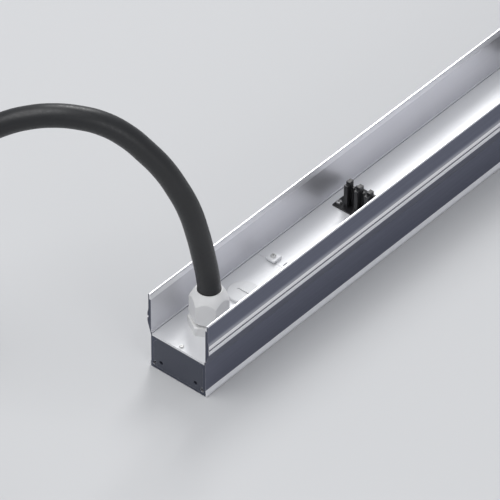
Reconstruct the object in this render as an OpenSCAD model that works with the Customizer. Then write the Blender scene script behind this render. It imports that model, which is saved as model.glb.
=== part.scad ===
// Busway section: an open-topped aluminium channel over a closed conductor chamber, with a cable
// infeed at the front end and plug-in connectors along the channel floor.
// The rail lies on its feet, +Y runs from the infeed end to the far end, and the origin is the middle
// of the underside.

/* [Rail] */
// Overall length
rail_length = 1200; // [1020:5:2200]
// Width over the upper walls
rail_width = 63; // [58:0.5:80]
// Height over the upper walls
rail_height = 75.7; // [68:0.1:95]
// Thickness of the upper walls
wall = 2.7; // [2.2:0.1:3.5]
// Height of the channel floor above the underside
deck_height = 35; // [32:0.5:42]
// Thickness of the plates that make the channel floor
deck_thickness = 2; // [1.5:0.1:2.5]
// Thickness of the chamber's walls
chamber_wall = 2.8; // [2.4:0.1:3.2]
// Thickness of the chamber's bottom
chamber_floor = 2.5; // [2:0.1:3.5]
// Thickness of each end block
block_thickness = 8; // [6:0.5:10]

/* [Infeed] */
// Length of the infeed plate, from the front cap to the seam in the channel floor
infeed_length = 130; // [125:1:200]
// Distance of the gland from the front end
gland_from_front = 38; // [34:1:40]
// Outside diameter of the threads of the gland and of the blanking plug
entry_thread_d = 25; // [20:0.5:26]
// Width across the flats of the gland's flange
gland_flange_flats = 31; // [30:0.5:34]
// Width across the flats of the gland's dome nut
gland_nut_flats = 29; // [28:0.5:32]
// Distance of the blanking plug from the front end
plug_from_front = 85; // [82:1:100]
// Diameter of the blanking plug's head
blanking_head_d = 27.6; // [27:0.2:32]

/* [Connectors] */
// Spacing of the connectors
connector_pitch = 250; // [200:5:260]
// Distance of the first connector's front edge from the front end
first_connector = 217; // [200:1:240]
// Width of a connector's base plate
connector_width = 40; // [38:0.5:44]
// Length of a connector's base plate
connector_length = 32; // [28:1:40]
// Height of the tall towers above the channel floor
tower_height = 27; // [20:0.5:32]
// Spacing of the towers across the channel
tower_pitch = 10.8; // [9:0.1:12]

/* [Hidden] */
$fn = 48;

front_y = -rail_length / 2;
half_width = rail_width / 2;
channel_half = half_width - wall;       // inner face of the upper walls, outer face of the chamber

// Rail section
lip_drop = 5.5;                         // from the top of the wall to the foot of its inner bevel
lip_inset = 1.0;                        // how much thinner the wall is above the bevel
notch_depth = 0.5;
rib_out = 1.4;                          // how far the upper rib stands proud of the wall
rib_top = rail_height - 21.5;
rib_thickness = 2.2;
rib_gap = 1.8;
rib_fillet_height = 7.8;                // the hollow that runs from the wall out to the upper rib
rib_fillet_bite = 0.05;                 // how far the hollow bites into the wall
lower_rib_out = 1.2;
shoulder_top = rib_top - rib_thickness - rib_gap;
shoulder_bottom = shoulder_top - 3.8;
taper_bottom = deck_height - deck_thickness + 0.3;
foot_out = 1.7;                         // how far the foot stands proud of the chamber
foot_top = 5.8;
foot_edge = 2.7;
foot_chamfer = 0.8;
step_in = 1.0;                          // the step beside the plates, inside the upper wall
step_height = 1.2;
fit = 0.15;                             // clearance at each side of a seated piece
plate_half = channel_half - step_in - fit;
shelf_top = deck_height - deck_thickness;
shelf_width = 3.4;
shelf_depth = 2.2;
chamber_half = channel_half - chamber_wall;
port_x = chamber_half - 0.3;            // screw ports in the chamber's bottom corners
port_r = 2.6;
port_z = chamber_floor + port_r - 0.4;
port_bore_r = 1.6;
port_slot = 1.4;

// End blocks and the small screws of the channel floor
block_hole_x = 18.2;
block_hole_z = 8.5;
block_hole_d = 3.8;
plate_screw_d = 2;
plate_screw_head_d = 3.6;
plate_screw_length = 7;
plate_screw_x = 1;
plate_screw_inset = 3;                  // from the end of the rail
tab_screw_d = 3;
tab_screw_head_d = 4.8;
tab_x = -12.8;
tab_y = front_y + infeed_length + 3;
tab_size = 9.6;
tab_thickness = 2;
tab_lift = 1.4;
slit_x = -1.7;
slit_from_seam = 2.4;
slit_length = 4.8;
slit_width = 0.9;

// Cable gland and blanking plug
gland_y = front_y + gland_from_front;
gland_flange_height = 8;
gland_collar_r = 12.3;
gland_gap = 2.5;
gland_nut_height = 18;
gland_dome_height = 10.5;
gland_dome_top_r = 10.9;
gland_neck_r = 11.2;
entry_depth = 11;                       // reach of the threads below the channel floor
curved_fit = 0.3;                       // clearance round a turned piece
locknut_flats = 30;
locknut_height = 5;
hex_chamfer = 1.0;
gland_nut_z = deck_height + gland_flange_height + gland_gap;
gland_top_z = gland_nut_z + gland_nut_height + gland_dome_height;
cable_socket_depth = 12;
blanking_x = -4;
blanking_y = front_y + plug_from_front;
blanking_head_height = 2.4;
coin_slot_length = 11.5;
coin_slot_width = 1.6;
coin_slot_depth = 1.2;

// Conductors
busbar_count = 5;
busbar_pitch = 9;
busbar_thickness = 3;
busbar_height = 12;
carrier_half = chamber_half - 0.5;
carrier_height = 20;
carrier_slot_depth = 13;
carrier_from_front = infeed_length + 10;
carrier_from_rear = 12;
carrier_length = rail_length - carrier_from_front - carrier_from_rear;
carrier_y = (carrier_from_front - carrier_from_rear) / 2;

// Connectors
connector_count = 4;
base_thickness = 1.5;
tower_x = 1.65;                         // centre of the middle tower
tower_width = 3.7;
tower_length = 5;
tower_from_base_front = 6.5;
step_tower_length = 3;
step_tower_drop = 2.6;
ear_width = 2.2;
ear_drop = 6;
socket_half_x = 15;
socket_length = 16;
socket_bottom = chamber_floor + carrier_height + 0.5;
connector_screw_d = 3;
connector_screw_head_d = 5;
connector_screw_inset = [3, 5];

// Supply cable: an arch out of the gland that drops to the floor, then a straight run on the floor
cable_d = 19.5;
cable_r = cable_d / 2;
cable_sides = 12;
arch_heading = 220.5;
arch_route = [                          // distance out from the gland, height above the floor
    [0, 62], [0, 75], [1.5, 90], [4.5, 108], [9, 131], [16, 157], [25, 178], [36, 198], [49, 215], [65, 232],
    [83, 244], [102, 250], [121, 252], [140, 250], [159, 244], [177, 234], [193, 220], [206, 203],
    [215, 184], [220, 166], [222, 148], [222, 128]
];
run_heading = 270;
run_route = [                           // distance on from where the arch drops, height above the floor
    [0, 108], [0, 90], [3, 69], [11, 50], [23, 33], [40, 20.5], [59, 12.5], [80, 9.75], [120, 9.75],
    [160, 9.75], [200, 9.75], [237, 9.75]
];
arch_direction = [cos(arch_heading), sin(arch_heading), 0];
arch_side = [-sin(arch_heading), cos(arch_heading), 0];
run_direction = [cos(run_heading), sin(run_heading), 0];
run_side = [-sin(run_heading), cos(run_heading), 0];
drop_point = [0, gland_y, 0] + arch_route[len(arch_route) - 1][0] * arch_direction;
arch_lift = gland_top_z - cable_socket_depth - arch_route[0][1];
arch_lift_fade = 50;                    // the lift fades out over this height above the floor

// Coil: an outer and an inner turn on the floor and a second inner turn on top, wound anticlockwise
coil_outer_r = 107.25;                  // centreline of the outer turn
coil_inner_r = coil_outer_r - cable_d;
coil_join = run_heading - 90;           // bearing at which the cable joins the coil
coil_centre = drop_point + run_route[len(run_route) - 1][0] * run_direction + coil_outer_r * run_side;
coil_corner = 5.8;
coil_notch_length = 75;
top_turn_end = 30;                      // bearing at which the cable leaves the top turn
top_turn_gap = 90;                      // from there to where the top turn has climbed up again
tail_route = [                          // from the middle of the coil
    [69, 56, 29.6], [61.5, 69, 29.8], [49, 85, 29.8], [33, 97.5, 29.8],
    [14, 105, 30.8], [-6, 108, 33.5], [-26, 105, 38.5], [-45, 97.5, 45], [-61, 85, 52], [-73.5, 69, 58],
    [-81, 50, 62.5], [-84, 30, 65], [-84, 20, 65]
];
tail_direction = [cos(top_turn_end + 90), sin(top_turn_end + 90), 0];
tail_side = [cos(top_turn_end), sin(top_turn_end), 0];
plug_direction = [0, -1, 0];

// Plug: a straight five-pin plug with a screwed cable clamp
plug_start = coil_centre + [-84, 30, 65];
plug_socket_depth = 10;
plug_nut_r = 20;
plug_nut_length = 24;
plug_handle_r = 26;
plug_handle_length = 80;
plug_shroud_r = 33.5;
plug_shroud_bore_r = 28.5;
plug_shroud_length = 43;
plug_face_depth = 34;
plug_key_width = 7;
plug_key_height = 3;
pin_count = 5;
pin_circle_r = 18;
pin_r = 2.5;
pin_length = 30;

connector_screw_x = connector_width / 2 - connector_screw_inset[0];
connector_screw_y = connector_length / 2 - connector_screw_inset[1];

function connector_y(i) = front_y + first_connector + connector_length / 2 + (i - 1) * connector_pitch;
function busbar_x(i) = (i - (busbar_count + 1) / 2) * busbar_pitch;
function unit(v) = v / norm(v);
function route_tangent(p, i) = unit(p[i + 1] - p[i - 1]);

// Directions along a route, given those of its two ends
function tangents_along(route, first, last) = [
    for (i = [0 : len(route) - 1]) i == 0 ? first : i == len(route) - 1 ? last : route_tangent(route, i)
];

// A vector carried along a route without twist, so that it stays square to the route
function squared(v, t) = unit(v - (v * t) * t);
function carried(tangents, side) = [
    for (i = 0, v = side; i < len(tangents); i = i + 1, v = squared(v, tangents[min(i, len(tangents) - 1)])) v
];

// A hexagonal prism standing on the xy plane, with two flats square to the x axis
module hexagon(flats, height) {
    rotate(30) cylinder(h = height, r = flats / sqrt(3), $fn = 6);
}

// A hexagon with its top corners turned off by a cone
module turned_hexagon(flats, height, turn) {
    corner_r = flats / sqrt(3);
    intersection() {
        hexagon(flats, height);
        union() {
            cylinder(h = height - turn, r = corner_r + 1);
            translate([0, 0, height - turn]) cylinder(h = turn, r1 = corner_r, r2 = corner_r - 2 * turn);
        }
    }
}

// A pan-head screw whose head stands on the xy plane and whose shank goes down
module pan_screw(shank_d, head_d, length) {
    head_height = head_d * 0.4;
    difference() {
        union() {
            translate([0, 0, -length]) cylinder(h = length, r = shank_d / 2);
            cylinder(h = head_height * 0.6, r = head_d / 2);
            translate([0, 0, head_height * 0.6])
                cylinder(h = head_height * 0.4, r1 = head_d / 2, r2 = head_d * 0.36);
        }
        translate([0, 0, head_height * 0.55])
            for (turn = [0, 90]) rotate(turn)
                translate([-head_d * 0.28, -head_d * 0.06, 0]) cube([head_d * 0.56, head_d * 0.12, head_height]);
    }
}

// A tube with flat ends that follows a route, given the direction of each ring and of its first corner
module swept_tube(route, tangents, sides) {
    rings = len(route);
    points = [
        for (i = [0 : rings - 1])
            let (across = cross(sides[i], tangents[i]))
            for (k = [0 : cable_sides - 1])
                let (a = 360 * k / cable_sides)
                route[i] + cable_r * (cos(a) * sides[i] + sin(a) * across)
    ];
    walls = [
        for (i = [0 : rings - 2])
            for (k = [0 : cable_sides - 1])
                let (j = (k + 1) % cable_sides, a = i * cable_sides, b = a + cable_sides)
                each [[a + k, a + j, b + j], [a + k, b + j, b + k]]
    ];
    start = [for (k = [cable_sides - 1 : -1 : 0]) k];
    end = [for (k = [0 : cable_sides - 1]) (rings - 1) * cable_sides + k];
    polyhedron(points = points, faces = concat(walls, [start, end]), convexity = 4);
}

// Right half of the solid outline, from the middle of the underside round to the channel's inner face
module half_outline() {
    top_inner = channel_half + lip_inset;
    difference() {
        polygon([
            [-1, 0], [channel_half + foot_out - foot_chamfer, 0],
            [channel_half + foot_out, foot_chamfer], [channel_half + foot_out, foot_edge],
            [channel_half, foot_top], [channel_half, taper_bottom],
            [half_width + lower_rib_out, shoulder_bottom], [half_width + lower_rib_out, shoulder_top],
            [half_width + 0.2, shoulder_top], [half_width + 0.2, shoulder_top + rib_gap],
            [half_width + rib_out, rib_top - rib_thickness],
            [half_width + rib_out, rib_top + rib_fillet_height], [half_width, rib_top + rib_fillet_height],
            [half_width, rail_height - 1], [half_width - 0.6, rail_height],
            [top_inner, rail_height], [top_inner - 0.1, rail_height - 1.2],
            [top_inner - 0.1 + notch_depth, rail_height - 1.2],
            [top_inner - 0.1 + notch_depth, rail_height - 1.7],
            [top_inner - 0.1, rail_height - 1.7],
            [channel_half, rail_height - lip_drop],
            [channel_half, deck_height + step_height], [channel_half - step_in, deck_height + step_height],
            [channel_half - step_in, shelf_top], [-1, shelf_top]
        ]);
        rib_hollow();
    }
}

// The round hollow between the plain wall and the upper rib
module rib_hollow() {
    hollow_r = (pow(rib_fillet_height, 2) + pow(rib_out, 2)) / (2 * rib_out);
    translate([half_width + hollow_r - rib_fillet_bite, rib_top + rib_fillet_height])
        circle(r = hollow_r, $fn = 180);
}

// Right half of the chamber's inside, below the shelves that carry the plates
module half_chamber(port_clearance) {
    shelf_edge = chamber_half - shelf_width;
    difference() {
        polygon([
            [-1, chamber_floor], [chamber_half, chamber_floor],
            [chamber_half, shelf_top - shelf_depth - shelf_width], [shelf_edge, shelf_top - shelf_depth],
            [shelf_edge, shelf_top], [-1, shelf_top]
        ]);
        translate([port_x, port_z]) circle(r = port_r + port_clearance);
    }
}

// The bore of a screw port and the slot that opens it towards the chamber
module port_opening() {
    translate([port_x, port_z]) {
        circle(r = port_bore_r);
        rotate(135) translate([0, -port_slot / 2]) square([port_r + 1, port_slot]);
    }
}

module rail_section() {
    for (side = [0, 1]) mirror([side, 0])
        difference() {
            half_outline();
            half_chamber(0);
            port_opening();
        }
}

module rail_profile() {
    color("lightsteelblue")
        rotate([90, 0, 0]) linear_extrude(rail_length, center = true) rail_section();
}

// The block that closes the chamber at the front end, drilled for two fixings and for the plate's screw
module end_block() {
    difference() {
        translate([0, front_y + block_thickness, 0]) rotate([90, 0, 0]) linear_extrude(block_thickness)
            for (side = [0, 1]) mirror([side, 0]) half_chamber(curved_fit);
        for (side = [-1, 1])
            translate([side * block_hole_x, front_y - 1, block_hole_z]) rotate([-90, 0, 0])
                cylinder(h = block_thickness + 2, r = block_hole_d / 2);
        translate([plate_screw_x, front_y + plate_screw_inset, shelf_top - plate_screw_length])
            cylinder(h = plate_screw_length + 1, r = plate_screw_d / 2 + curved_fit);
    }
}

module front_block() {
    color("slategray") end_block();
}

module rear_block() {
    color("slategray") rotate(180) end_block();
}

// A plate of the channel floor, from one distance to another along the rail
module floor_plate(from, to) {
    translate([-plate_half, from, shelf_top]) cube([2 * plate_half, to - from, deck_thickness]);
}

module floor_bore(x, y, d) {
    translate([x, y, shelf_top - 1]) cylinder(h = deck_thickness + 2, r = d / 2);
}

module infeed_plate() {
    color("gainsboro")
        difference() {
            floor_plate(front_y, front_y + infeed_length);
            floor_bore(0, gland_y, entry_thread_d + 2 * curved_fit);
            floor_bore(blanking_x, blanking_y, entry_thread_d + 2 * curved_fit);
            floor_bore(plate_screw_x, front_y + plate_screw_inset, plate_screw_d + 2 * curved_fit);
        }
}

module deck_plate() {
    cutout = [2 * (socket_half_x + fit), socket_length + 2 * fit, deck_thickness + 2];
    color("gainsboro")
        difference() {
            floor_plate(front_y + infeed_length + fit, -front_y);
            floor_bore(tab_x, tab_y, tab_screw_d + 2 * curved_fit);
            floor_bore(-plate_screw_x, -front_y - plate_screw_inset, plate_screw_d + 2 * curved_fit);
            translate([slit_x - slit_width / 2, front_y + infeed_length + slit_from_seam, shelf_top - 1])
                cube([slit_width, slit_length, deck_thickness + 2]);
            for (i = [1 : connector_count]) {
                translate([0, connector_y(i), deck_height - deck_thickness / 2]) cube(cutout, center = true);
                for (side = [-1, 1])
                    floor_bore(side * connector_screw_x, connector_y(i) + side * connector_screw_y,
                        connector_screw_d + 2 * curved_fit);
            }
        }
}

module plate_screw() {
    translate([plate_screw_x, front_y + plate_screw_inset, deck_height])
        pan_screw(plate_screw_d, plate_screw_head_d, plate_screw_length);
}

module front_screw() {
    color("silver") plate_screw();
}

module rear_screw() {
    color("silver") rotate(180) plate_screw();
}

// A small cranked tab: its rear half is clamped to the deck plate, its front half reaches over the seam
module retaining_tab() {
    color("lightgray")
        difference() {
            union() {
                translate([tab_x - tab_size / 2, tab_y - tab_size / 2, deck_height + tab_lift])
                    cube([tab_size, tab_size, tab_thickness]);
                translate([tab_x - tab_size / 2, tab_y - tab_size / 2 + 3.5, deck_height])
                    cube([tab_size, tab_size - 3.5, tab_lift]);
            }
            translate([tab_x, tab_y, deck_height - 1])
                cylinder(h = tab_lift + tab_thickness + 2, r = tab_screw_d / 2 + curved_fit);
        }
}

module tab_screw() {
    color("silver") translate([tab_x, tab_y, deck_height + tab_lift + tab_thickness])
        pan_screw(tab_screw_d, tab_screw_head_d, tab_lift + tab_thickness + deck_thickness + 3);
}

module gland_body() {
    color("white")
        translate([0, gland_y, 0]) {
            translate([0, 0, deck_height]) turned_hexagon(gland_flange_flats, gland_flange_height, hex_chamfer);
            translate([0, 0, deck_height - entry_depth])
                cylinder(h = entry_depth + gland_flange_height / 2, r = entry_thread_d / 2);
            translate([0, 0, deck_height + 1]) cylinder(h = gland_nut_z - deck_height - 1, r = gland_collar_r);
            translate([0, 0, deck_height + 1]) cylinder(h = gland_nut_z - deck_height + 11, r = gland_neck_r);
        }
}

module gland_nut() {
    corner_r = gland_nut_flats / sqrt(3);
    color("white")
        translate([0, gland_y, gland_nut_z])
            difference() {
                intersection() {
                    hexagon(gland_nut_flats, gland_nut_height + gland_dome_height);
                    union() {
                        cylinder(h = 2, r1 = gland_nut_flats / 2, r2 = corner_r);
                        translate([0, 0, 2]) cylinder(h = gland_nut_height - 2, r = corner_r + 1);
                        translate([0, 0, gland_nut_height])
                            cylinder(h = gland_dome_height, r1 = corner_r, r2 = gland_dome_top_r);
                    }
                }
                translate([0, 0, -1]) cylinder(h = 13 + curved_fit, r = gland_neck_r + curved_fit);
                translate([0, 0, gland_nut_height + gland_dome_height - cable_socket_depth])
                    cylinder(h = cable_socket_depth + 1, r = cable_r + curved_fit);
            }
}

module locknut(x, y) {
    translate([x, y, shelf_top - locknut_height])
        difference() {
            hexagon(locknut_flats, locknut_height);
            translate([0, 0, -1]) cylinder(h = locknut_height + 2, r = entry_thread_d / 2 + curved_fit);
        }
}

module gland_locknut() {
    color("white") locknut(0, gland_y);
}

module blanking_plug() {
    head_r = blanking_head_d / 2;
    color("lightgray")
        translate([blanking_x, blanking_y, deck_height])
            difference() {
                union() {
                    translate([0, 0, -entry_depth]) cylinder(h = entry_depth, r = entry_thread_d / 2);
                    cylinder(h = blanking_head_height - 0.8, r = head_r);
                    translate([0, 0, blanking_head_height - 0.8]) cylinder(h = 0.8, r1 = head_r, r2 = head_r - 0.8);
                }
                translate([-coin_slot_length / 2, -coin_slot_width / 2, blanking_head_height - coin_slot_depth])
                    cube([coin_slot_length, coin_slot_width, coin_slot_depth + 1]);
            }
}

module blanking_locknut() {
    color("white") locknut(blanking_x, blanking_y);
}

module busbar_carrier() {
    color("dimgray")
        difference() {
            translate([-carrier_half, carrier_y - carrier_length / 2, chamber_floor])
                cube([2 * carrier_half, carrier_length, carrier_height]);
            for (i = [1 : busbar_count])
                translate([
                    busbar_x(i) - busbar_thickness / 2 - fit, carrier_y - carrier_length / 2 - 1,
                    chamber_floor + carrier_height - carrier_slot_depth
                ])
                    cube([busbar_thickness + 2 * fit, carrier_length + 2, carrier_slot_depth + 1]);
            for (side = [-1, 1])
                translate([side * port_x, carrier_y, port_z]) rotate([90, 0, 0])
                    cylinder(h = carrier_length + 2, r = port_r + curved_fit, center = true);
        }
}

module busbar(i) {
    color("peru")
        translate([
            busbar_x(i) - busbar_thickness / 2, carrier_y - carrier_length / 2 + 4,
            chamber_floor + carrier_height - carrier_slot_depth
        ])
            cube([busbar_thickness, carrier_length - 8, busbar_height]);
}

// One pole of a connector: a tall tower with a lower step in front and an ear beside it
module tower(height) {
    translate([-tower_width / 2, 0, 0]) cube([tower_width, tower_length, height]);
    translate([-tower_width / 2, -step_tower_length, 0])
        cube([tower_width, step_tower_length, height - step_tower_drop]);
    translate([tower_width / 2, tower_length - 3, 0]) cube([ear_width, 3, height - ear_drop]);
}

module connector(i) {
    color("black")
        translate([0, connector_y(i), 0])
            difference() {
                union() {
                    translate([-connector_width / 2, -connector_length / 2, deck_height])
                        cube([connector_width, connector_length, base_thickness]);
                    translate([-socket_half_x, -socket_length / 2, socket_bottom])
                        cube([2 * socket_half_x, socket_length, deck_height - socket_bottom]);
                    for (k = [-1 : 1])
                        translate([
                            tower_x + k * tower_pitch, tower_from_base_front - connector_length / 2,
                            deck_height + base_thickness
                        ])
                            tower(tower_height - base_thickness);
                }
                for (side = [-1, 1])
                    translate([side * connector_screw_x, side * connector_screw_y, deck_height - 1])
                        cylinder(h = base_thickness + 2, r = connector_screw_d / 2 + curved_fit);
            }
}

module connector_screws(i) {
    color("silver")
        for (side = [-1, 1])
            translate([
                side * connector_screw_x, connector_y(i) + side * connector_screw_y, deck_height + base_thickness
            ])
                pan_screw(connector_screw_d, connector_screw_head_d, base_thickness + deck_thickness + 3);
}

module supply_cable() {
    arch = [
        for (p = arch_route)
            [0, gland_y, p[1] + arch_lift * min(1, (p[1] - cable_r) / arch_lift_fade)] + p[0] * arch_direction
    ];
    run = [for (p = run_route) drop_point + p[0] * run_direction + [0, 0, p[1]]];
    route = concat(arch, run);
    tangents = tangents_along(route, [0, 0, 1], run_direction);
    color("black") swept_tube(route, tangents, carried(tangents, arch_side));
}

module supply_tail() {
    start = [coil_inner_r * cos(top_turn_end), coil_inner_r * sin(top_turn_end), cable_d + cable_r];
    route = [for (p = concat([start], tail_route)) p + coil_centre];
    tangents = tangents_along(route, tail_direction, plug_direction);
    color("black") swept_tube(route, tangents, carried(tangents, tail_side));
}

// Outline of the coil's three turns, with the corners taken off
module coil_outline() {
    inside = coil_inner_r - cable_r;
    middle = coil_inner_r + cable_r;
    outside = coil_outer_r + cable_r;
    top = 2 * cable_d;
    c = coil_corner;
    polygon([
        [inside, c], [inside + c, 0], [outside - c, 0], [outside, c], [outside, cable_d - c],
        [outside - c, cable_d], [middle, cable_d], [middle, top - c], [middle - c, top], [inside + c, top],
        [inside, top - c]
    ]);
}

module supply_coil() {
    color("black")
        translate(coil_centre)
            difference() {
                rotate_extrude($fn = 96) coil_outline();
                rotate(top_turn_end) rotate_extrude(angle = top_turn_gap, $fn = 96)
                    translate([coil_inner_r - cable_d, cable_d]) square(2 * cable_d);
                rotate(coil_join) translate([coil_outer_r - cable_r - curved_fit, -coil_notch_length, -1])
                    cube([2 * cable_d, coil_notch_length, 3 * cable_d]);
            }
}

// Plug pieces are turned about an axis that starts at the cable and runs to the pins
module plug_axis() {
    translate(plug_start) rotate([90, 0, 0]) children();
}

module plug_nut() {
    color("dimgray") plug_axis()
        difference() {
            union() {
                cylinder(h = 6, r1 = 14, r2 = plug_nut_r);
                translate([0, 0, 6]) cylinder(h = plug_nut_length - 6, r = plug_nut_r);
            }
            translate([0, 0, -1]) cylinder(h = plug_socket_depth + 1, r = cable_r + curved_fit);
        }
}

module plug_handle() {
    color("gray") plug_axis()
        translate([0, 0, plug_nut_length]) {
            cylinder(h = 8, r1 = plug_nut_r + 1, r2 = plug_handle_r);
            translate([0, 0, 8]) cylinder(h = plug_handle_length - 8, r = plug_handle_r);
        }
}

module plug_shroud() {
    length = plug_shroud_length;
    color("firebrick") plug_axis()
        translate([0, 0, plug_nut_length + plug_handle_length])
            difference() {
                union() {
                    cylinder(h = 6, r1 = plug_handle_r + 1, r2 = plug_shroud_r);
                    translate([0, 0, 6]) cylinder(h = length - 6, r = plug_shroud_r);
                }
                difference() {
                    translate([0, 0, length - plug_face_depth])
                        cylinder(h = plug_face_depth + 1, r = plug_shroud_bore_r);
                    translate([plug_shroud_bore_r - plug_key_height, -plug_key_width / 2, 0])
                        cube([plug_key_height + 2, plug_key_width, length]);
                }
            }
}

module plug_pins() {
    color("silver") plug_axis()
        translate([0, 0, plug_nut_length + plug_handle_length + plug_shroud_length - plug_face_depth])
            for (k = [0 : pin_count - 1])
                rotate(k * 360 / pin_count) translate([pin_circle_r, 0, 0]) cylinder(h = pin_length, r = pin_r);
}

rail_profile();
front_block();
rear_block();
infeed_plate();
deck_plate();
front_screw();
rear_screw();
retaining_tab();
tab_screw();
gland_body();
gland_nut();
gland_locknut();
blanking_plug();
blanking_locknut();
busbar_carrier();
busbar(1);  // busbar_1
busbar(2);  // busbar_2
busbar(3);  // busbar_3
busbar(4);  // busbar_4
busbar(5);  // busbar_5
connector(1);  // connector_1
connector(2);  // connector_2
connector(3);  // connector_3
connector(4);  // connector_4
connector_screws(1);  // connector_screws_1
connector_screws(2);  // connector_screws_2
connector_screws(3);  // connector_screws_3
connector_screws(4);  // connector_screws_4
supply_cable();
supply_coil();
supply_tail();
plug_nut();
plug_handle();
plug_shroud();
plug_pins();
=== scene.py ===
import math

import bpy
from mathutils import Matrix, Vector


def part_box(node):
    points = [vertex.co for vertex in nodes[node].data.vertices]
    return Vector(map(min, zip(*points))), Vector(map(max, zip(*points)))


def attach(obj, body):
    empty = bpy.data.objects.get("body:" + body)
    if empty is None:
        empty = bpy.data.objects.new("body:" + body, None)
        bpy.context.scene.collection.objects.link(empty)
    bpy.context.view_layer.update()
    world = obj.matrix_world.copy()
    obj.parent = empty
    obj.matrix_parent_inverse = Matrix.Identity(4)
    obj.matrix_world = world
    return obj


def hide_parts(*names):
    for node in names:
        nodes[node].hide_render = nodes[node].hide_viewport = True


MM = 0.001

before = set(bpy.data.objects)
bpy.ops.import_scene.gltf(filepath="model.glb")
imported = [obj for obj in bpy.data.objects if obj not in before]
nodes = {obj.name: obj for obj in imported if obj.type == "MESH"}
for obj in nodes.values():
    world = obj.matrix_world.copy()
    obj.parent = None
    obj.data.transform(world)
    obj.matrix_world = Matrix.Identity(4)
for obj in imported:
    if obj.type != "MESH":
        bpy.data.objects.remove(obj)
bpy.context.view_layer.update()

# Places and sizes that part.scad fixes
FRONT_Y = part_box("rail_profile")[0][1]
GLAND = Vector((0, FRONT_Y + 38 * MM, 0))
CABLE_D = 19.5 * MM
CONNECTORS = 4
BUSBARS = 5


# ---------------------------------------------------------------- camera

SENSOR_WIDTH = 36


def add_camera(azimuth, elevation, roll, distance, aim_at, aim_px, focal_px, size_px):
    """Looks down by elevation from the bearing azimuth, with aim_at at the pixel aim_px."""
    az, el, turn = (math.radians(v) for v in (azimuth, elevation, roll))
    level = Vector((math.cos(az), math.sin(az), 0))
    back = Vector((math.sin(az) * math.cos(el), -math.cos(az) * math.cos(el), math.sin(el)))
    upright = back.cross(level)
    right = level * math.cos(turn) + upright * math.sin(turn)
    up = upright * math.cos(turn) - level * math.sin(turn)
    across, down = ((p - size_px / 2) * distance / focal_px for p in aim_px)
    place = aim_at + back * distance - right * across + up * down
    data = bpy.data.cameras.new("camera")
    data.sensor_width = SENSOR_WIDTH
    data.lens = data.sensor_width * focal_px / size_px
    data.clip_end = 50
    camera = bpy.data.objects.new("camera", data)
    camera.matrix_world = Matrix.Translation(place) @ Matrix((right, up, back)).transposed().to_4x4()
    bpy.context.collection.objects.link(camera)
    bpy.context.scene.camera = camera


add_camera(azimuth=40.23, elevation=40.71, roll=0.364, distance=4.382, aim_at=Vector((0, FRONT_Y, 0)),
           aim_px=(178.26, 380.92), focal_px=5442, size_px=500)


# ---------------------------------------------------------------- supply cable

ARCH_HEADING = math.radians(220.5)
# Distance out from the gland along the heading, and height above the floor, in millimetres
ARCH_ROUTE = [
    (0, 62), (0, 75), (1.5, 90), (4.5, 108), (9, 131), (16, 157), (25, 178), (36, 198), (49, 215), (65, 232),
    (83, 244), (102, 250), (121, 252), (140, 250), (159, 244), (177, 234), (193, 220), (206, 203),
    (215, 184), (220, 166), (222, 148), (222, 128),
]
# Distance towards -Y from where the arch drops, and height above the floor, in millimetres
RUN_ROUTE = [
    (0, 108), (0, 90), (3, 69), (11, 50), (23, 33), (40, 20.5), (59, 12.5), (80, 9.75), (120, 9.75),
    (160, 9.75), (200, 9.75), (237, 9.75),
]
# From the coil's centre, in millimetres
TAIL_ROUTE = [
    (75.99, 43.87, 29.25), (69, 56, 29.6), (61.5, 69, 29.8), (49, 85, 29.8), (33, 97.5, 29.8),
    (14, 105, 30.8), (-6, 108, 33.5), (-26, 105, 38.5), (-45, 97.5, 45), (-61, 85, 52), (-73.5, 69, 58),
    (-81, 50, 62.5), (-84, 30, 65), (-84, 20, 65),
]
# The coil winds on at its outer radius, goes in by one cable and then up by one. Angles in degrees
OUTER_R = 107.25 * MM
INNER_R = OUTER_R - CABLE_D
WOUND = 924
WOUND_STEP = 12
WOUND_IN = (300, 360)
WOUND_UP = (600, 660)


def smoothstep(value, low, high):
    t = min(1, max(0, (value - low) / (high - low)))
    return t * t * (3 - 2 * t)


def cable_points():
    """The whole cable as one line: the arch, the run on the floor, the coil and the tail to the plug."""
    heading = Vector((math.cos(ARCH_HEADING), math.sin(ARCH_HEADING), 0))
    points = [GLAND + heading * (reach * MM) + Vector((0, 0, height * MM)) for reach, height in ARCH_ROUTE]
    drop = GLAND + heading * (ARCH_ROUTE[-1][0] * MM)
    points += [drop + Vector((0, -along, height)) * MM for along, height in RUN_ROUTE]
    centre = drop + Vector((OUTER_R, -RUN_ROUTE[-1][0] * MM, 0))
    for wound in range(WOUND_STEP, WOUND + 1, WOUND_STEP):
        radius = OUTER_R + (INNER_R - OUTER_R) * smoothstep(wound, *WOUND_IN)
        height = CABLE_D / 2 + CABLE_D * smoothstep(wound, *WOUND_UP)
        angle = math.radians(180 + wound)
        points.append(centre + Vector((radius * math.cos(angle), radius * math.sin(angle), height)))
    points += [centre + Vector(p) * MM for p in TAIL_ROUTE]
    return points


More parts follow.
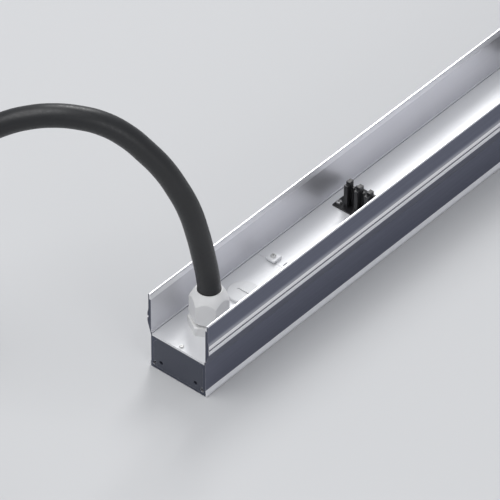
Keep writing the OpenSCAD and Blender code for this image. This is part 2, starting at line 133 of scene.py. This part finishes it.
def add_cable():
    """The cable as a mesh, with its points and its length."""
    points = cable_points()
    data = bpy.data.curves.new("supply_cord", "CURVE")
    data.dimensions = "3D"
    data.bevel_depth = CABLE_D / 2
    data.bevel_resolution = 8
    data.resolution_u = 8
    data.use_fill_caps = True
    spline = data.splines.new("BEZIER")
    spline.bezier_points.add(len(points) - 1)
    for bezier, point in zip(spline.bezier_points, points):
        bezier.co = point
        bezier.handle_left_type = bezier.handle_right_type = "AUTO"
    curve = bpy.data.objects.new("supply_curve", data)
    bpy.context.collection.objects.link(curve)
    mesh = bpy.data.meshes.new_from_object(curve.evaluated_get(bpy.context.evaluated_depsgraph_get()))
    cable = bpy.data.objects.new("supply_cord", mesh)
    bpy.context.collection.objects.link(cable)
    bpy.data.objects.remove(curve)
    length = sum((b - a).length for a, b in zip(points, points[1:]))
    return cable, points, length


cable, cable_path, cable_length = add_cable()
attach(cable, "root")
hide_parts("supply_cable", "supply_coil", "supply_tail")


# ---------------------------------------------------------------- materials

NOISE_ROUGHNESS = 0.55
BEVEL_SAMPLES = 4
EDGE_FROM_TO = (0.955, 0.8)         # cosine between the real and the rounded normal


class Surface:
    """A Principled material, with short ways to add nodes to it."""

    def __init__(self, name, **sockets):
        self.material = bpy.data.materials.new(name)
        self.material.use_nodes = True
        self.tree = self.material.node_tree
        self.shader = self.tree.nodes["Principled BSDF"]
        for socket, value in sockets.items():
            self.set(self.shader.inputs[socket.replace("_", " ")], value)
        self.place = self.add("ShaderNodeTexCoord").outputs["Object"]
        self.normal = self.add("ShaderNodeNewGeometry").outputs["Normal"]

    def set(self, socket, value):
        if isinstance(value, bpy.types.NodeSocket):
            self.tree.links.new(value, socket)
        else:
            socket.default_value = value

    def add(self, kind, inputs=None, **settings):
        node = self.tree.nodes.new(kind)
        for key, value in settings.items():
            setattr(node, key, value)
        for key, value in (inputs or {}).items():
            self.set(node.inputs[key], value)
        return node

    def math(self, operation, a, b=0.0):
        return self.add("ShaderNodeMath", {0: a, 1: b}, operation=operation).outputs[0]

    def both(self, a, b):
        return self.math("MULTIPLY", a, b)

    def either(self, a, b):
        return self.math("MAXIMUM", a, b)

    def ramp(self, value, low, high, out_low=0.0, out_high=1.0):
        limits = {"From Min": low, "From Max": high, "To Min": out_low, "To Max": out_high}
        node = self.add("ShaderNodeMapRange", {"Value": value, **limits}, interpolation_type="SMOOTHSTEP")
        return node.outputs["Result"]

    def mix(self, factor, a, b):
        node = self.add("ShaderNodeMix", data_type="RGBA")
        self.set(node.inputs["Factor"], factor)
        self.set(node.inputs["A"], a)
        self.set(node.inputs["B"], b)
        return node.outputs["Result"]

    def noise(self, scale, stretch=(1, 1, 1), detail=3.0):
        place = self.add("ShaderNodeMapping", {"Vector": self.place, "Scale": stretch}).outputs["Vector"]
        inputs = {"Vector": place, "Scale": scale, "Detail": detail, "Roughness": NOISE_ROUGHNESS}
        return self.add("ShaderNodeTexNoise", inputs).outputs["Fac"]

    def axis(self, vector, name):
        return self.add("ShaderNodeSeparateXYZ", {0: vector}).outputs[name]

    def rounded(self, radius):
        """The normal with edges rounded over, and a mask of those edges, where the materials paint an edge
        highlight.
        """
        soft = self.add("ShaderNodeBevel", {"Radius": radius}, samples=BEVEL_SAMPLES).outputs["Normal"]
        dot = self.add("ShaderNodeVectorMath", {0: soft, 1: self.normal}, operation="DOT_PRODUCT")
        return soft, self.ramp(dot.outputs["Value"], *EDGE_FROM_TO)

    def bump(self, height, strength, distance, normal=None):
        node = self.add("ShaderNodeBump", {"Height": height, "Strength": strength, "Distance": distance})
        if normal is not None:
            self.set(node.inputs["Normal"], normal)
        self.set(self.shader.inputs["Normal"], node.outputs["Normal"])


def rgb(r, g, b):
    return (r, g, b, 1)


def extruded_aluminium():
    """Satin anodised extrusion: slate outer faces and darker end faces as painted shade, bright ribs, lip,
    foot, upward faces and edges as painted highlight, pale channel, lengthwise lines.

    The masks go by the section: x is the distance from its middle plane, z the height.
    """
    s = Surface("rail_anodised", Metallic=0.85)
    x = s.math("ABSOLUTE", s.axis(s.place, "X"))
    z = s.axis(s.place, "Z")
    facing_up = s.axis(s.normal, "Z")
    facing_end = s.math("ABSOLUTE", s.axis(s.normal, "Y"))
    lines = s.noise(55, (14, 0.16, 14), detail=4)
    clouds = s.noise(9, (1, 0.35, 1))
    soft, edge = s.rounded(0.35 * MM)
    # Painted shade: the outer faces get a dark slate colour in place of the dark reflection they show; the
    # inner walls keep the pale aluminium colour.
    painted_shade_slate = s.mix(clouds, rgb(0.135, 0.145, 0.195), rgb(0.175, 0.185, 0.24))
    painted_shade_slate = s.mix(s.both(lines, 0.35), painted_shade_slate, rgb(0.11, 0.118, 0.16))
    pale = s.mix(clouds, rgb(0.66, 0.66, 0.70), rgb(0.78, 0.78, 0.81))
    painted_highlight_white = rgb(0.93, 0.93, 0.95)
    # The lip, foot and rib masks, together with the upward faces, mark where the painted highlight goes; the
    # inner wall mask marks where the pale colour shows.
    lip = s.both(s.ramp(x, 30.3 * MM, 30.25 * MM), s.ramp(z, 70 * MM, 70.3 * MM))
    inner_wall = s.both(s.ramp(x, 28.95 * MM, 28.9 * MM), s.ramp(z, 35 * MM, 35.4 * MM))
    foot = s.both(s.ramp(x, 28.9 * MM, 29.2 * MM), s.ramp(z, 5.9 * MM, 5.5 * MM))
    rib = s.ramp(x, 32.4 * MM, 32.6 * MM)
    painted_highlight_mask = s.either(s.ramp(facing_up, 0.1, 0.5), s.either(rib, s.either(lip, foot)))
    colour = s.mix(inner_wall, painted_shade_slate, pale)
    # Painted shade: faces that point towards the ends are painted darker.
    colour = s.mix(facing_end, colour, rgb(0.085, 0.092, 0.125))
    # Painted highlight: the lip, foot, ribs and upward faces are painted near white.
    colour = s.mix(painted_highlight_mask, colour, painted_highlight_white)
    # Painted edge highlight: the rounded edges are painted halfway to near white.
    colour = s.mix(s.both(edge, 0.5), colour, painted_highlight_white)
    s.set(s.shader.inputs["Base Color"], colour)
    s.set(s.shader.inputs["Roughness"], s.ramp(lines, 0.25, 0.75, 0.34, 0.46))
    s.bump(lines, 0.12, 0.05 * MM, soft)
    return s.material


def end_moulding():
    s = Surface("end_block_plastic", Roughness=0.55)
    grain = s.noise(900, detail=2)
    clouds = s.noise(14)
    soft, edge = s.rounded(0.3 * MM)
    # Painted shade: the end blocks are painted dark slate in place of the dark reflection of their end
    # faces.
    colour = s.mix(clouds, rgb(0.052, 0.058, 0.08), rgb(0.068, 0.075, 0.1))
    # Painted edge highlight: the rounded edges are painted lighter.
    colour = s.mix(s.both(edge, 0.4), colour, rgb(0.3, 0.31, 0.36))
    s.set(s.shader.inputs["Base Color"], colour)
    s.set(s.shader.inputs["Roughness"], s.ramp(grain, 0.3, 0.7, 0.48, 0.62))
    s.bump(grain, 0.2, 0.05 * MM, soft)
    return s.material


def floor_sheet():
    """Satin sheet: near white, with faint rolling lines and a painted highlight on its edges."""
    s = Surface("floor_sheet", Metallic=0.35)
    lines = s.noise(70, (9, 0.3, 9), detail=3)
    clouds = s.noise(7, (1, 0.4, 1))
    soft, edge = s.rounded(0.25 * MM)
    colour = s.mix(clouds, rgb(0.76, 0.77, 0.785), rgb(0.84, 0.845, 0.855))
    colour = s.mix(s.both(edge, 0.5), colour, rgb(0.95, 0.95, 0.96))
    s.set(s.shader.inputs["Base Color"], colour)
    s.set(s.shader.inputs["Roughness"], s.ramp(lines, 0.25, 0.75, 0.38, 0.5))
    s.bump(lines, 0.08, 0.04 * MM, soft)
    return s.material


def moulded_plastic(name, dark, light, roughness, edge_colour):
    s = Surface(name)
    grain = s.noise(1100, detail=2)
    clouds = s.noise(40)
    soft, edge = s.rounded(0.4 * MM)
    colour = s.mix(clouds, dark, light)
    # Painted edge highlight: the rounded edges are mixed towards the lighter edge colour.
    colour = s.mix(s.both(edge, 0.35), colour, edge_colour)
    s.set(s.shader.inputs["Base Color"], colour)
    s.set(s.shader.inputs["Roughness"], s.ramp(grain, 0.3, 0.7, roughness - 0.05, roughness + 0.07))
    s.bump(grain, 0.15, 0.04 * MM, soft)
    return s.material


def bare_metal(name, dark, light, roughness):
    s = Surface(name, Metallic=1.0)
    grain = s.noise(600, detail=3)
    soft, edge = s.rounded(0.12 * MM)
    colour = s.mix(grain, dark, light)
    # Painted edge highlight: the rounded edges are painted towards near white.
    colour = s.mix(s.both(edge, 0.4), colour, rgb(0.95, 0.95, 0.95))
    s.set(s.shader.inputs["Base Color"], colour)
    s.set(s.shader.inputs["Roughness"], s.ramp(grain, 0.3, 0.7, roughness - 0.06, roughness + 0.08))
    s.bump(grain, 0.1, 0.03 * MM, soft)
    return s.material


def cable_sheath():
    s = Surface("cable_sheath", Roughness=0.4)
    grain = s.noise(500, detail=3)
    clouds = s.noise(16)
    colour = s.mix(clouds, rgb(0.01, 0.0105, 0.0115), rgb(0.018, 0.0185, 0.02))
    s.set(s.shader.inputs["Base Color"], colour)
    s.set(s.shader.inputs["Roughness"], s.ramp(grain, 0.3, 0.7, 0.36, 0.5))
    s.bump(grain, 0.15, 0.06 * MM)
    return s.material


def numbered(name, count):
    return [f"{name}_{i}" for i in range(1, count + 1)]


def paint(names, material):
    for name in names:
        slots = nodes[name].material_slots
        if not slots:
            nodes[name].data.materials.append(material)
        for slot in slots:
            slot.material = material


WHITE = moulded_plastic("gland_plastic", rgb(0.8, 0.8, 0.79), rgb(0.86, 0.86, 0.85), 0.34,
                        rgb(0.95, 0.95, 0.95))
LIGHT = moulded_plastic("blanking_plastic", rgb(0.68, 0.69, 0.7), rgb(0.76, 0.765, 0.77), 0.4,
                        rgb(0.9, 0.9, 0.9))
BLACK = moulded_plastic("connector_plastic", rgb(0.008, 0.008, 0.009), rgb(0.014, 0.014, 0.016), 0.42,
                        rgb(0.09, 0.09, 0.1))
GREY = moulded_plastic("plug_plastic", rgb(0.02, 0.02, 0.022), rgb(0.034, 0.034, 0.037), 0.45,
                       rgb(0.14, 0.14, 0.15))
RED = moulded_plastic("plug_red", rgb(0.42, 0.02, 0.015), rgb(0.5, 0.03, 0.02), 0.36,
                      rgb(0.75, 0.2, 0.16))
CARRIER = moulded_plastic("carrier_plastic", rgb(0.06, 0.065, 0.07), rgb(0.08, 0.085, 0.09), 0.5,
                          rgb(0.2, 0.2, 0.2))
STEEL = bare_metal("zinc_plated_steel", rgb(0.6, 0.6, 0.59), rgb(0.74, 0.74, 0.72), 0.3)
NICKEL = bare_metal("nickel_plated_pins", rgb(0.62, 0.57, 0.45), rgb(0.74, 0.68, 0.54), 0.24)
COPPER = bare_metal("copper", rgb(0.62, 0.3, 0.2), rgb(0.72, 0.38, 0.25), 0.3)

paint(["rail_profile"], extruded_aluminium())
paint(["front_block", "rear_block"], end_moulding())
paint(["infeed_plate", "deck_plate", "retaining_tab"], floor_sheet())
paint(["gland_body", "gland_nut", "gland_locknut", "blanking_locknut"], WHITE)
paint(["blanking_plug"], LIGHT)
paint(["front_screw", "rear_screw", "tab_screw"] + numbered("connector_screws", CONNECTORS), STEEL)
paint(numbered("connector", CONNECTORS), BLACK)
paint(["busbar_carrier"], CARRIER)
paint(numbered("busbar", BUSBARS), COPPER)
paint(["plug_nut", "plug_handle"], GREY)
paint(["plug_shroud"], RED)
paint(["plug_pins"], NICKEL)
cable.data.materials.append(cable_sheath())


# ---------------------------------------------------------------- floor and light

FLOOR_SIZE = 14
FLOOR_DROP = 0.3 * MM               # keeps the floor clear of the rail's feet


def add_floor():
    bpy.ops.mesh.primitive_plane_add(size=FLOOR_SIZE, location=(0, 0, -FLOOR_DROP))
    floor = bpy.context.object
    floor.name = "floor"
    s = Surface("floor_paint", Roughness=0.85)
    s.set(s.shader.inputs["Base Color"], rgb(0.6, 0.605, 0.61))
    s.set(s.shader.inputs["Specular IOR Level"], 0.1)
    floor.data.materials.append(s.material)


def add_area_light(name, place, aim, size, power):
    data = bpy.data.lights.new(name, "AREA")
    data.shape = "DISK"
    data.size = size
    data.energy = power
    lamp = bpy.data.objects.new(name, data)
    lamp.location = place
    lamp.rotation_euler = (Vector(place) - Vector(aim)).to_track_quat("Z", "Y").to_euler()
    bpy.context.collection.objects.link(lamp)


def add_world(colour, strength):
    world = bpy.data.worlds.new("studio")
    world.use_nodes = True
    background = world.node_tree.nodes["Background"]
    background.inputs["Color"].default_value = colour
    background.inputs["Strength"].default_value = strength
    bpy.context.scene.world = world


add_floor()
# Name, place, point it aims at, width in metres and power in watts
add_area_light("key", (-1.6, 2.2, 2.6), (0, -0.3, 0), 1.6, 62)
add_area_light("top", (-0.5, -1.4, 2.9), (0, -0.5, 0), 2.6, 52)
add_area_light("side", (2.4, -1.2, 1.1), (0, -0.4, 0), 1.4, 9)
add_world(rgb(0.92, 0.94, 1.0), 0.44)
bpy.context.scene.view_settings.view_transform = "Standard"

bpy.context.view_layer.update()
